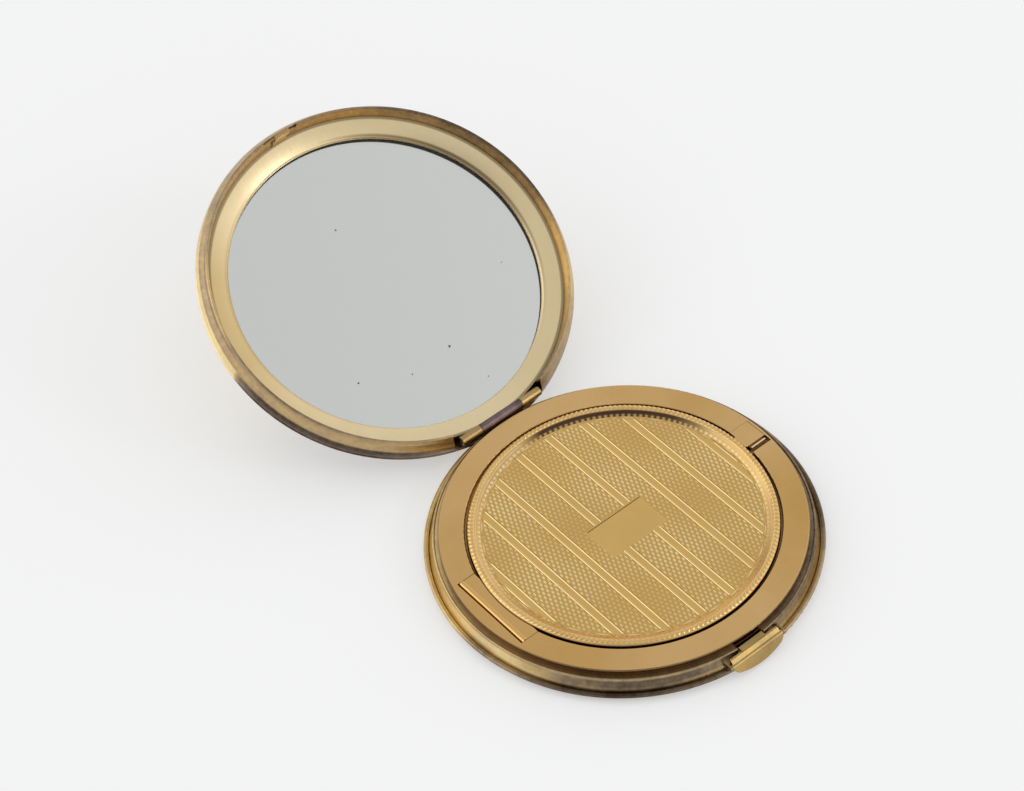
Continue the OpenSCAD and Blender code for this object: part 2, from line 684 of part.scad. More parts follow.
base_cover();
base_frame();
base_knuckle();
hinge_pin();
frame_ring();
powder_pan();
powder_door();
door_hinge_pin();
door_lift_spring();
door_snap();
thumb_catch();
catch_pin();
catch_ears();
catch_spring();
lid_cover();
lid_frame();
mirror_bezel();
mirror_glass();
mirror_silvering();
mirror_pad();
lid_knuckle_left();
lid_knuckle_right();
lid_catch_lug();
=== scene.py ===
# Looks of the loose-powder compact: camera, light, finishes with painted shade and painted highlights, and
# the fine engraving of its powder door
import json
import math

import bpy
import numpy as np
from mathutils import Matrix, Vector


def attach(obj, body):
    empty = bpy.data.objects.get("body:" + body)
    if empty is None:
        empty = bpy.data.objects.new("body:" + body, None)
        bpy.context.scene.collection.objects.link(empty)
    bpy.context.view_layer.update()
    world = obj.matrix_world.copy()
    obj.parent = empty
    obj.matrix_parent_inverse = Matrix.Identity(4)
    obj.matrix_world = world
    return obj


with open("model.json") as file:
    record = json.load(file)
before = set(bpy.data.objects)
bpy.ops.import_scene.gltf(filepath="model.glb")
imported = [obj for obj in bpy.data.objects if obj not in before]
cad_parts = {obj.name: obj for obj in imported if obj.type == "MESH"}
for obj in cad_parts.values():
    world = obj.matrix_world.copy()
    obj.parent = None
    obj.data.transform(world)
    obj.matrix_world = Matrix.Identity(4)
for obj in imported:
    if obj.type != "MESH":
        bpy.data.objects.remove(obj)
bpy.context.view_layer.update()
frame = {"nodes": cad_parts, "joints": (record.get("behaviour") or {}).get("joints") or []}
nodes = frame["nodes"]


MM = 0.001
TURN = 2 * math.pi


def end_of(name, axis, side=max):
    """Where the piece ends along the axis, in millimetres, or where it starts with min as its side."""
    return round(side(corner["XYZ".index(axis)] for corner in nodes[name].bound_box) / MM, 3)


# Sizes of the solids, in millimetres
RING_R = end_of("frame_ring", "X")
RING_TOP = end_of("frame_ring", "Z")
DOOR_R = end_of("powder_door", "X")
BEZEL_R = end_of("mirror_bezel", "X")
GLASS_R = end_of("mirror_glass", "X")
WALL_TOP = end_of("base_frame", "Z")
SNAP_END_Y = end_of("door_snap", "Y", min)

# The lid's turn between its pictured place and its closed one
lid_hinge = next(joint for joint in frame["joints"] if joint["name"] == "lid_hinge")
HINGE_AXIS = Vector(lid_hinge["pos_m"])
HINGE_Z = lid_hinge["pos_m"][2] / MM
LID_CLOSES = Matrix.Rotation(math.radians(-lid_hinge["range_deg"][0]), 3, "X")
LID_OPENS = LID_CLOSES.inverted()

# Camera: it looks at a point near the hinge, from the front left and above
CAMERA_TARGET = (-2.045 * MM, 28.447 * MM, 18.897 * MM)
CAMERA_DISTANCE = 530.27 * MM
CAMERA_AZIMUTH = -36.031
CAMERA_ELEVATION = 47.189
CAMERA_ROLL = -5.237
CAMERA_LENS = 99.563
SENSOR_WIDTH = 36
NEAREST_SEEN = 0.01
FARTHEST_SEEN = 20

# Studio: the colours of the sky and where they lie, by the height of the direction
SKY_TOP = (0.65, 0.66, 0.655)
SKY_EDGE = (1.12, 1.125, 1.13)
SKY_EDGE_Z = 0.05
SKY_TOP_Z = 0.75
# Each glow: its direction, the angles in degrees where it is full and where it ends, and what it adds
GLOWS = (
    ((-0.60, 0.55, 0.55), 12, 36, 0.85),
    ((0.80, -0.30, 0.50), 14, 40, 0.15),
    ((-0.52, -0.52, 0.68), 14, 32, -0.40),
)
SOFTBOX_PLACE = (0.80, -1.10, 0.80)
SOFTBOX_TARGET = (0, 0.03, 0)
SOFTBOX_SIZE = (0.42, 0.34)
SOFTBOX_POWER = 1.7
FLOOR_SIZE = 6


# Camera and studio
def camera_axes():
    """Right, up and back of the camera as unit vectors."""
    angles = (CAMERA_AZIMUTH, CAMERA_ELEVATION, CAMERA_ROLL)
    azimuth, elevation, roll = (math.radians(angle) for angle in angles)
    back = Vector((
        math.sin(azimuth) * math.cos(elevation),
        -math.cos(azimuth) * math.cos(elevation),
        math.sin(elevation),
    ))
    level_right = (-back).cross(Vector((0, 0, 1))).normalized()
    level_up = level_right.cross(-back)
    right = level_right * math.cos(roll) + level_up * math.sin(roll)
    up = level_up * math.cos(roll) - level_right * math.sin(roll)
    return right, up, back


def make_camera():
    right, up, back = camera_axes()
    data = bpy.data.cameras.new("camera")
    data.lens = CAMERA_LENS
    data.sensor_width = SENSOR_WIDTH
    data.sensor_fit = "HORIZONTAL"
    data.clip_start = NEAREST_SEEN
    data.clip_end = FARTHEST_SEEN
    camera = bpy.data.objects.new("camera", data)
    place = Matrix((right, up, back)).transposed().to_4x4()
    place.translation = Vector(CAMERA_TARGET) + back * CAMERA_DISTANCE
    camera.matrix_world = place
    bpy.context.scene.collection.objects.link(camera)
    bpy.context.scene.camera = camera


def sky_color(tree, direction):
    """Grey overhead and brighter towards the walls."""
    split = tree.nodes.new("ShaderNodeSeparateXYZ")
    ramp = tree.nodes.new("ShaderNodeValToRGB")
    stops = ((SKY_EDGE_Z, SKY_EDGE), (SKY_TOP_Z, SKY_TOP))
    for element, (height, color) in zip(ramp.color_ramp.elements, stops):
        element.position = height
        element.color = (*color, 1)
    tree.links.new(direction, split.inputs[0])
    tree.links.new(split.outputs["Z"], ramp.inputs[0])
    return ramp.outputs[0]


def sky_brightness(tree, direction):
    """One, and more or less in the glows: a bright window and a dark camera side."""
    brightness = None
    for middle, full, end, change in GLOWS:
        along = tree.nodes.new("ShaderNodeVectorMath")
        along.operation = "DOT_PRODUCT"
        along.inputs[1].default_value = Vector(middle).normalized()
        tree.links.new(direction, along.inputs[0])
        glow = tree.nodes.new("ShaderNodeMapRange")
        glow.interpolation_type = "SMOOTHSTEP"
        glow.inputs["From Min"].default_value = math.cos(math.radians(end))
        glow.inputs["From Max"].default_value = math.cos(math.radians(full))
        glow.inputs["To Max"].default_value = change
        tree.links.new(along.outputs["Value"], glow.inputs["Value"])
        total = tree.nodes.new("ShaderNodeMath")
        total.inputs[0].default_value = 1
        if brightness:
            tree.links.new(brightness, total.inputs[0])
        tree.links.new(glow.outputs["Result"], total.inputs[1])
        brightness = total.outputs[0]
    return brightness


def make_world():
    """A pale studio, as a sky."""
    world = bpy.data.worlds.new("studio")
    bpy.context.scene.world = world
    world.use_nodes = True
    tree = world.node_tree
    background = tree.nodes["Background"]
    direction = tree.nodes.new("ShaderNodeTexCoord").outputs["Generated"]
    tree.links.new(sky_color(tree, direction), background.inputs["Color"])
    tree.links.new(sky_brightness(tree, direction), background.inputs["Strength"])


def make_softbox():
    data = bpy.data.lights.new("softbox", "AREA")
    data.shape = "RECTANGLE"
    data.size, data.size_y = SOFTBOX_SIZE
    data.energy = SOFTBOX_POWER
    light = bpy.data.objects.new("softbox", data)
    light.location = SOFTBOX_PLACE
    direction = Vector(SOFTBOX_TARGET) - Vector(SOFTBOX_PLACE)
    light.rotation_euler = direction.to_track_quat("-Z", "Y").to_euler()
    bpy.context.scene.collection.objects.link(light)


def make_floor():
    bpy.ops.mesh.primitive_plane_add(size=FLOOR_SIZE, location=(0, 0, 0))
    floor = bpy.context.object
    floor.name = "floor"
    floor.data.materials.append(paper())


# Short calls for the nodes of a material
class Look:
    """A material with one Principled shader, and short calls for the nodes that feed it."""

    def __init__(self, name, lid=False, **values):
        self.lid = lid
        self.material = bpy.data.materials.new(name)
        self.material.use_nodes = True
        self.tree = self.material.node_tree
        self.principled = self.tree.nodes["Principled BSDF"]
        for socket, value in values.items():
            self.feed(self.principled.inputs[socket.replace("_", " ")], value)

    def feed(self, socket, value):
        """Sets a plain number or colour on the socket, or links what another node gives."""
        if isinstance(value, tuple):
            socket.default_value = (*value, 1)
        elif isinstance(value, (int, float)):
            socket.default_value = value
        else:
            self.tree.links.new(value, socket)

    def link(self, output, socket):
        self.tree.links.new(output, self.principled.inputs[socket])

    def base_color(self):
        """What the shader's base colour is linked to so far."""
        return self.principled.inputs["Base Color"].links[0].from_socket

    def place(self):
        """Where a point lies on the piece with the lid closed, in metres."""
        place = self.tree.nodes.new("ShaderNodeTexCoord").outputs["Object"]
        if self.lid:
            node = self.tree.nodes.new("ShaderNodeMapping")
            node.inputs["Location"].default_value = HINGE_AXIS - LID_CLOSES @ HINGE_AXIS
            node.inputs["Rotation"].default_value = LID_CLOSES.to_euler()
            self.tree.links.new(place, node.inputs["Vector"])
            place = node.outputs[0]
        return place

    def coordinate(self, axis):
        node = self.tree.nodes.new("ShaderNodeSeparateXYZ")
        self.tree.links.new(self.place(), node.inputs[0])
        return node.outputs[axis]

    def stretched(self, scale):
        node = self.tree.nodes.new("ShaderNodeMapping")
        node.inputs["Scale"].default_value = scale
        self.tree.links.new(self.place(), node.inputs["Vector"])
        return node.outputs[0]

    def noise(self, scale, detail, rough, seed=0.0, at=None):
        """Noise with the scale in spots per metre."""
        node = self.tree.nodes.new("ShaderNodeTexNoise")
        node.noise_dimensions = "4D"
        node.inputs["Scale"].default_value = scale
        node.inputs["Detail"].default_value = detail
        node.inputs["Roughness"].default_value = rough
        node.inputs["W"].default_value = seed
        self.tree.links.new(at or self.place(), node.inputs["Vector"])
        return node.outputs["Fac"]

    def steps(self, value, *stops):
        """A colour ramp from pairs of a position and a colour or grey level."""
        node = self.tree.nodes.new("ShaderNodeValToRGB")
        elements = node.color_ramp.elements
        while len(elements) < len(stops):
            elements.new(0.5)
        for element, (position, color) in zip(elements, stops):
            element.position = position
            element.color = (*color, 1) if isinstance(color, tuple) else (color, color, color, 1)
        self.tree.links.new(value, node.inputs[0])
        return node.outputs[0]

    def patches(self, scale, most=1.0, start=0.35, end=0.7):
        """Soft patches, from nought to most."""
        return self.steps(self.noise(scale, detail=5, rough=0.6), (start, 0.0), (end, most))

    def math(self, operation, a, b=0.0, c=0.0, clamp=False):
        node = self.tree.nodes.new("ShaderNodeMath")
        node.operation = operation
        node.use_clamp = clamp
        for socket, value in zip(node.inputs, (a, b, c)):
            self.feed(socket, value)
        return node.outputs[0]

    def times(self, a, b):
        return self.math("MULTIPLY", a, b)

    def all_but(self, value):
        return self.math("SUBTRACT", 1.0, value)

    def mix(self, share, a, b):
        node = self.tree.nodes.new("ShaderNodeMix")
        node.data_type = "RGBA"
        for name, value in (("Factor", share), ("A", a), ("B", b)):
            socket = [s for s in node.inputs if s.name == name and s.enabled][0]
            self.feed(socket, value)
        return [s for s in node.outputs if s.enabled][0]

    def azimuth(self):
        """The share of a turn round the upright axis, from the side opposite to +X."""
        turn = self.math("ARCTAN2", self.coordinate("Y"), self.coordinate("X"))
        return self.math("MULTIPLY_ADD", turn, 1 / TURN, 0.5)

    def radius(self):
        """The distance from the upright axis, in metres."""
        squares = [self.math("POWER", self.coordinate(axis), 2) for axis in "XY"]
        return self.math("SQRT", self.math("ADD", *squares))

    def past(self, value, low, high):
        """Nought below low and one over high, both in millimetres, with a soft passage."""
        node = self.tree.nodes.new("ShaderNodeMapRange")
        node.interpolation_type = "SMOOTHSTEP"
        node.inputs["From Min"].default_value = low * MM
        node.inputs["From Max"].default_value = high * MM
        self.tree.links.new(value, node.inputs["Value"])
        return node.outputs["Result"]

    def within(self, value, rise, fall):
        """One from the first passage to the second, and nought outside them."""
        return self.times(self.past(value, *rise), self.all_but(self.past(value, *fall)))

    def inside(self, axis, low, high):
        """One where the coordinate lies between two places in millimetres."""
        return self.math("COMPARE", self.coordinate(axis), (low + high) / 2 * MM, (high - low) / 2 * MM)

    def around(self, shares):
        """A grey level by azimuth, from pairs of degrees and a share."""
        places = sorted(((degrees + 180) % 360 / 360, share) for degrees, share in shares)
        seam = places[0][1]
        return self.steps(self.azimuth(), (0.0, seam), *places, (1.0, seam))

    def bump(self, height, distance):
        node = self.tree.nodes.new("ShaderNodeBump")
        node.inputs["Distance"].default_value = distance
        self.tree.links.new(height, node.inputs["Height"])
        self.link(node.outputs[0], "Normal")


# The powder door's engraving: counts, and sizes in millimetres on the closed door
FIELD_TOP = RING_TOP - 0.4
FIELD_R = DOOR_R - 2.3
SKIN_LIFT = 0.012
STRIP_COUNT = 7
STRIP_PITCH = 7.16
STRIP_COLUMNS = 36
BAND_COLUMN_GAP = 0.3
LINE_AT = 0.755
LINE_WIDTH = 0.28
LINE_HEIGHT = 0.11
LINE_COLUMN_SHARES = (-1, -0.6, -0.3, 0, 0.3, 0.6, 1)
LINE_EDGE = LINE_AT + LINE_WIDTH / 2
# The cut beside each raised line: where it starts and where it ends, from the middle of the band
CUT_IN = (LINE_EDGE - 0.03, LINE_EDGE + 0.03)
CUT_OUT = (LINE_EDGE + 0.1, LINE_EDGE + 0.16)
GRAIN_PITCH = 0.925
GRAIN_ROW = 0.94
GRAIN_ROW_STEPS = 6
GRAIN_HEIGHT = 0.11
GRAIN_EDGE_R = DOOR_R - 3.2
GRAIN_IN = 1.0
STROKE_SHARE = 0.2
# How the lattice's height wanders: two waves, each as radians per millimetre along X and Y and a phase
FADE_MEAN_SHARE = 0.72
FADE_SWING_SHARE = 0.28
FADE_WAVES = ((0.21, 0.13, 1), (-0.08, 0.17, 2))
CARTOUCHE_X = (-6.9, 6.5)
CARTOUCHE_Y = (-5.2, 3.0)
GROOVE_X = (-6.5, 6.5)
GROOVE_Y = (2.55, 2.75)
RIDGE_R = DOOR_R - 2.85
RIDGE_WIDTH = 0.4
RIDGE_HEIGHT = 0.09
RIDGE_SWELLS = 31
TICK_COUNT = 150
BORDER_R = 0.9
BORDER_CENTRE_R = DOOR_R - BORDER_R
# The part of the border's round that the ticks cover, in degrees from outwards
BORDER_FROM = 122
BORDER_TO = 44
ROPE_AROUND = 1656
ROPE_ACROSS = 26
ROPE_COUNT = 192
ROPE_SLANT = 1.1
ROPE_HEIGHT = 0.09
ROPE_SINK = 0.015
ROPE_LIFT = 0.025
ROPE_EDGE_SHARE = 0.12

# Sizes on the mirror, in millimetres on the closed lid
MIRROR_Z = HINGE_Z + 3.28
FACE_DEPTH = 0.95
FACE_R = GLASS_R - 0.3
FACE_CORNERS = 180
SPECK_LIFT = 0.01
SPECK_CORNERS = 9
BROAD_LOBES = 3
BROAD_LOBE_SHARE = 0.35
FINE_LOBES = 5
FINE_LOBE_SHARE = 0.2
# Each speck: its place and its radius
SPECKS = (
    (-1.77, -14.33, 0.20),
    (2.25, 17.75, 0.28),
    (-7.55, 18.46, 0.16),
    (-17.59, 14.21, 0.22),
    (22.28, 9.07, 0.12),
    (4.87, 26.99, 0.14),
)

# Where the finishes, the painted shade and the painted highlights change, in millimetres on the closed
# part: each pair is the start and end of a passage
SNAP_STEP_Y = SNAP_END_Y + 0.865
SNAP_LIP_Y = SNAP_END_Y + 0.315
FLANGE_IN_R = (DOOR_R - 1.3, DOOR_R - 1.1)
RING_IN_R = (RING_R - 4.95, RING_R - 4.77)
RING_OUT_R = (RING_R - 0.25, RING_R - 0.05)
SLOPE_IN_R = (DOOR_R - 2.8, DOOR_R - 2.5)
SLOPE_OUT_R = (DOOR_R - 1.6, DOOR_R - 1.35)
TICK_OUT_R = (DOOR_R - 2.3, DOOR_R - 2.0)
ARC_IN_R = (DOOR_R - 1.9, DOOR_R - 1.8)
ARC_OUT_R = (DOOR_R - 1.7, DOOR_R - 1.6)
RIM_IN_R = (DOOR_R - 0.25, DOOR_R - 0.1)
RIM_OUT_R = (DOOR_R + 0.05, DOOR_R + 0.2)
TAB_IN_R = (DOOR_R + 0.1, DOOR_R + 0.3)
BEZEL_OUT_R = (BEZEL_R - 0.7, BEZEL_R - 0.3)
ROLL_OUT_R = (GLASS_R - 0.6, GLASS_R - 0.1)
BASE_SIDE_Z = (WALL_TOP - 2.35, WALL_TOP - 1.65)
BASE_FOLD_Z = (WALL_TOP - 0.65, WALL_TOP - 0.25)
LID_SIDE_Z = (WALL_TOP + 0.25, WALL_TOP + 0.75)
LID_EDGE_Z = (WALL_TOP + 2.15, WALL_TOP + 2.65)

# How much of each painted shade, painted highlight, tarnish and tone there is by azimuth: pairs of degrees
# from +X and a share
# Painted shade in the gap round the powder door
GAP_SHADE_SHARES = ((0, 0.85), (18, 0.85), (45, 0.5), (80, 0.35), (125, 0.35), (155, 0.85))
# The ring's tone, darker on some sides
RING_SHARES = (
    (0, 0.0), (25, 0.5), (60, 0.0), (125, 0.05), (160, 0.35), (215, 0.4), (250, 0.05), (275, 0.0),
    (300, 0.4), (335, 0.6),
)
# Painted dark reflection on the door's inner slope
SLOPE_SHADE_SHARES = (
    (0, 0.25), (10, 0.3), (18, 0.7), (28, 1.0), (84, 1.0), (90, 0.5), (94, 0.2), (120, 0.25),
    (180, 0.3), (240, 0.25), (270, 0.05), (330, 0.2),
)
# Painted highlights on the door's slope
GLINT_SHARES = (
    (10, 0.5), (24, 0.0), (88, 0.0), (95, 1.0), (125, 0.9), (150, 0.3), (180, 0.0), (0, 0.3),
)
# Painted shade on the mirror's bezel
BEZEL_SHADE_SHARES = (
    (0, 0.22), (60, 0.22), (90, 0.0), (120, 0.0), (150, 0.27), (177, 0.8), (212, 0.87), (235, 0.3),
    (255, 0.2), (300, 0.25), (330, 0.1),
)
# Painted dark reflection on the bezel's rolled edge
ROLL_SHADE_SHARES = (
    (280, 0.05), (300, 0.7), (330, 0.9), (355, 0.8), (15, 0.45), (35, 0.15), (60, 0.0), (120, 0.0),
    (160, 0.12), (180, 0.2), (210, 0.22), (240, 0.25), (262, 0.15),
)
# Tarnish and painted shade on the walls and rims: partly real patina, partly painted shade and painted
# reflection, with a painted highlight where the share is low
BASE_CREASE_SHARES = (
    (150, 0.0), (200, 0.0), (211, 0.58), (225, 0.62), (240, 0.74), (252, 0.35), (262, 0.05),
    (288, 0.0), (302, 0.2), (320, 0.05), (345, 0.2), (0, 0.6), (20, 0.3), (120, 0.1),
)
BASE_SIDE_SHARES = (
    (150, 0.12), (163, 0.0), (185, 0.0), (196, 0.18), (210, 0.67), (225, 0.8), (242, 0.87),
    (255, 0.7), (285, 0.55), (300, 0.62), (318, 0.25), (332, 0.33), (345, 0.45), (0, 0.42),
    (20, 0.25), (120, 0.2),
)
BASE_FOLD_SHARES = (
    (150, 0.25), (165, 0.37), (195, 0.47), (215, 0.57), (255, 0.6), (285, 0.7), (305, 0.8),
    (330, 0.68), (350, 0.76), (0, 0.76), (15, 0.66), (40, 0.5), (120, 0.3),
)
BASE_BEAD_SHARES = (
    (150, 0.38), (175, 0.42), (192, 0.68), (210, 0.84), (225, 0.95), (242, 0.86), (255, 0.8),
    (272, 0.55), (285, 0.53), (305, 0.6), (330, 0.88), (350, 0.8), (5, 0.5), (40, 0.3), (120, 0.25),
)
LID_LIP_SHARES = (
    (80, 0.55), (92, 0.48), (105, 0.32), (120, 0.53), (135, 0.56), (165, 0.7), (180, 0.62),
    (195, 0.35), (210, 0.32), (225, 0.58), (270, 0.65), (285, 0.55), (300, 0.72), (340, 0.85),
    (0, 0.78), (30, 0.35), (60, 0.58),
)
LID_SIDE_SHARES = (
    (80, 0.55), (92, 0.45), (105, 0.57), (120, 0.46), (135, 0.5), (180, 0.52), (195, 0.62),
    (212, 0.58), (225, 0.5), (240, 0.56), (270, 0.56), (285, 0.42), (300, 0.52), (335, 0.76),
    (0, 0.63), (30, 0.3), (60, 0.55),
)
LID_EDGE_SHARES = (
    (80, 0.65), (105, 0.65), (118, 0.82), (132, 0.96), (166, 0.99), (178, 0.72), (192, 0.06),
    (214, 0.08), (230, 0.26), (245, 0.36), (270, 0.34), (285, 0.36), (305, 0.48), (335, 0.76),
    (0, 0.6), (30, 0.32), (60, 0.66),
)
RING_EDGE_SHARE = 0.85
BEZEL_EDGE_SHARE = 0.75
TICK_SHARE = 0.8
GROOVE_SHARE = 0.75
CUT_SHARE = 0.6
CLOUD_SHARE = 0.5
SPECKLE_SHARE = 0.36

# Colours of the finishes, the painted shade and the painted highlights
SATIN_LIGHT = (0.79, 0.505, 0.215)
SATIN_DARK = (0.69, 0.41, 0.135)
# Painted shade in the snap's step and a painted highlight on its lip
STEP_SHADE = (0.20, 0.115, 0.065)
LIP_HIGHLIGHT = (1.0, 0.86, 0.60)
RING_LIGHT = (0.81, 0.525, 0.235)
RING_DARK = (0.66, 0.385, 0.115)
# Painted shade along the ring's inner and outer edges
RING_EDGE_SHADE = (0.13, 0.075, 0.045)
DOOR_LIGHT = (0.84, 0.555, 0.225)
DOOR_DARK = (0.76, 0.475, 0.165)
TAB_GOLD = (0.745, 0.46, 0.17)
# Painted highlight on the door's slope
GLINT_GOLD = (1.0, 0.82, 0.48)
# Painted shade in the gap round the powder door
GAP_SHADE = (0.10, 0.055, 0.035)
# The bezel's light and dark gold, mixed by painted shade by azimuth and by patches
BEZEL_LIGHT = (0.98, 0.80, 0.50)
BEZEL_DARK = (0.69, 0.51, 0.245)
# Painted shade along the bezel's outer edge and rolled edge
BEZEL_EDGE_SHADE = (0.22, 0.15, 0.07)
ENGRAVED_DARK = (0.66, 0.42, 0.15)
# Painted shade in the cut beside each raised line
CUT_SHADE = (0.30, 0.17, 0.06)
ROPE_LIGHT = (0.86, 0.58, 0.24)
ROPE_DARK = (0.74, 0.47, 0.17)
KNUCKLE_LIGHT = (0.60, 0.42, 0.18)
KNUCKLE_DARK = (0.30, 0.20, 0.09)
CATCH_LIGHT = (0.52, 0.35, 0.13)
CATCH_DARK = (0.36, 0.24, 0.10)
VERDIGRIS = (0.30, 0.36, 0.22)
MIDDLE_LIGHT = (0.28, 0.20, 0.195)
MIDDLE_DARK = (0.12, 0.085, 0.085)
WIRE_LIGHT = (0.40, 0.33, 0.24)
WIRE_DARK = (0.25, 0.19, 0.13)
CARD_LIGHT = (0.17, 0.12, 0.08)
CARD_DARK = (0.10, 0.07, 0.045)
# Gold by the height of the engraving, as a share of a raised line: painted shade in the hollows and a
# painted highlight on the raised tops, partly polish
ENGRAVED_SHADE_AND_HIGHLIGHT = (
    (0.0, (0.82, 0.53, 0.185)),
    (0.04, (0.66, 0.395, 0.12)),
    (0.32, (0.83, 0.54, 0.195)),
    (0.66, (1.0, 0.84, 0.45)),
)
# Gold by the depth of its tarnish and painted shade, from a painted highlight at nought to deep shade at
# one
TARNISH_AND_SHADE_DEPTHS = (
    (0.0, (0.98, 0.77, 0.39)),
    (0.35, (0.62, 0.43, 0.19)),
    (0.6, (0.36, 0.26, 0.155)),
    (0.8, (0.165, 0.122, 0.079)),
    (1.0, (0.075, 0.046, 0.028)),
)

# Scratches: spots per metre, their height in millimetres and how they change the roughness
FINE_SCRATCHES = 1600
COARSE_SCRATCHES = 900
SCRATCH_STRETCH = (1, 0.15, 1)
SCRATCH_HEIGHT = 0.0015
RING_SCRATCH_HEIGHT = 0.0007
SMOOTH_SHARE = 0.8
DULL_SHARE = 1.25


# Finishes
def paper():
    look = Look("floor_paper", Base_Color=(0.60, 0.602, 0.605), Roughness=0.9, Specular_IOR_Level=0.1,
                Emission_Color=(1.0, 0.998, 0.995), Emission_Strength=0.40)
    return look.material


def scratch(look, rough, scale=FINE_SCRATCHES, height=SCRATCH_HEIGHT):
    """Fine scratches, in the roughness and as a slight bump."""
    fine = look.noise(scale, detail=3, rough=0.6, seed=2, at=look.stretched(SCRATCH_STRETCH))
    look.link(look.steps(fine, (0.2, rough * SMOOTH_SHARE), (0.8, rough * DULL_SHARE)), "Roughness")
    look.bump(fine, height * MM)


def gilt(name, light, dark, rough, patch_scale):
    """Gilded brass: a base colour, darker patches and fine scratches."""
    look = Look(name, Metallic=1.0)
    look.link(look.mix(look.patches(patch_scale), light, dark), "Base Color")
    scratch(look, rough)
    return look


def satin_gilt(name):
    return gilt(name, SATIN_LIGHT, SATIN_DARK, rough=0.26, patch_scale=45)


def satin_gold():
    return satin_gilt("satin_gold").material


def snap_gold():
    """The snap's gold, with painted shade in the step behind its lip and a painted highlight on the lip.
    """
    look = satin_gilt("snap_gold")
    gold = look.base_color()
    past_step = look.math("LESS_THAN", look.coordinate("Y"), SNAP_STEP_Y * MM)
    on_lip = look.math("LESS_THAN", look.coordinate("Y"), SNAP_LIP_Y * MM)
    look.link(look.mix(on_lip, look.mix(past_step, gold, STEP_SHADE), LIP_HIGHLIGHT), "Base Color")
    return look.material


def pan_gold():
    """The powder pan's gold, with painted shade on the flange under the ring, where it shows through the
    gap.
    """
    look = satin_gilt("pan_gold")
    gold = look.base_color()
    flange = look.times(look.past(look.radius(), *FLANGE_IN_R), look.around(GAP_SHADE_SHARES))
    look.link(look.mix(flange, gold, GAP_SHADE), "Base Color")
    return look.material


def ring_gold():
    """The ring's gold, darker on some sides by azimuth, with painted shade along its inner edge by the gap
    and along its rounded outer edge.
    """
    look = Look("ring_gold", Metallic=1.0)
    tone = look.math("ADD", look.patches(45, most=0.5), look.around(RING_SHARES), clamp=True)
    gold = look.mix(tone, RING_LIGHT, RING_DARK)
    radius = look.radius()
    inner = look.times(look.all_but(look.past(radius, *RING_IN_R)), look.around(GAP_SHADE_SHARES))
    outer = look.times(look.past(radius, *RING_OUT_R), RING_EDGE_SHARE)
    look.link(look.mix(look.math("ADD", inner, outer, clamp=True), gold, RING_EDGE_SHADE), "Base Color")
    scratch(look, rough=0.24, height=RING_SCRATCH_HEIGHT)
    return look.material


def slope_ticks(look, radius):
    """Fine ticks round the foot of the door's inner slope."""
    swing = look.math("SINE", look.times(look.azimuth(), TICK_COUNT * TURN))
    swell = look.math("MULTIPLY_ADD", swing, 0.5, 0.5)
    return look.times(look.all_but(look.past(radius, *TICK_OUT_R)), swell)


def door_glint(look, radius, on_slope, ticks):
    """Where the ticks and a thin arc on the slope catch the light."""
    arc = look.within(radius, ARC_IN_R, ARC_OUT_R)
    marks = look.math("MAXIMUM", arc, look.times(ticks, on_slope))
    broken = look.steps(look.noise(330, detail=2, rough=0.5, seed=9), (0.4, 0.35), (0.58, 1.0))
    return look.times(marks, look.times(look.around(GLINT_SHARES), broken))


def door_shade(look, radius, on_slope, ticks):
    """Where painted shade lies on the door: round its edge by the gap, in its groove, and on its inner
    slope between the ticks as a painted dark reflection.
    """
    shade = look.times(look.around(SLOPE_SHADE_SHARES), look.math("MULTIPLY_ADD", ticks, -TICK_SHARE, 1.0))
    slope = look.times(on_slope, shade)
    rim = look.times(look.within(radius, RIM_IN_R, RIM_OUT_R), look.around(GAP_SHADE_SHARES))
    groove = look.times(look.inside("X", *GROOVE_X), look.inside("Y", *GROOVE_Y))
    groove = look.times(groove, GROOVE_SHARE)
    return look.math("ADD", look.math("ADD", slope, rim), groove, clamp=True)


def door_gold():
    """The powder door's plain gold, with its tab a little darker, painted highlights on its slope and
    painted shade.
    """
    look = Look("door_gold", Metallic=1.0)
    radius = look.radius()
    on_slope = look.within(radius, SLOPE_IN_R, SLOPE_OUT_R)
    ticks = slope_ticks(look, radius)
    gold = look.mix(look.patches(70), DOOR_LIGHT, DOOR_DARK)
    gold = look.mix(door_glint(look, radius, on_slope, ticks), gold, GLINT_GOLD)
    gold = look.mix(look.past(radius, *TAB_IN_R), gold, TAB_GOLD)
    gold = look.mix(door_shade(look, radius, on_slope, ticks), gold, GAP_SHADE)
    look.link(gold, "Base Color")
    scratch(look, rough=0.22)
    return look.material


def bezel_gold():
    """The mirror's bezel: pale gold, darker by azimuth as painted shade, with painted shade along its
    outer edge at the seam and a painted dark reflection on the far part of its rolled edge.
    """
    look = Look("bezel_gold", lid=True, Metallic=1.0)
    tone = look.math("ADD", look.around(BEZEL_SHADE_SHARES), look.patches(60, most=0.16), clamp=True)
    gold = look.mix(tone, BEZEL_LIGHT, BEZEL_DARK)
    radius = look.radius()
    outer = look.times(look.past(radius, *BEZEL_OUT_R), BEZEL_EDGE_SHARE)
    roll = look.times(look.all_but(look.past(radius, *ROLL_OUT_R)), look.around(ROLL_SHADE_SHARES))
    look.link(look.mix(look.math("ADD", outer, roll, clamp=True), gold, BEZEL_EDGE_SHADE), "Base Color")
    scratch(look, rough=0.24)
    return look.material


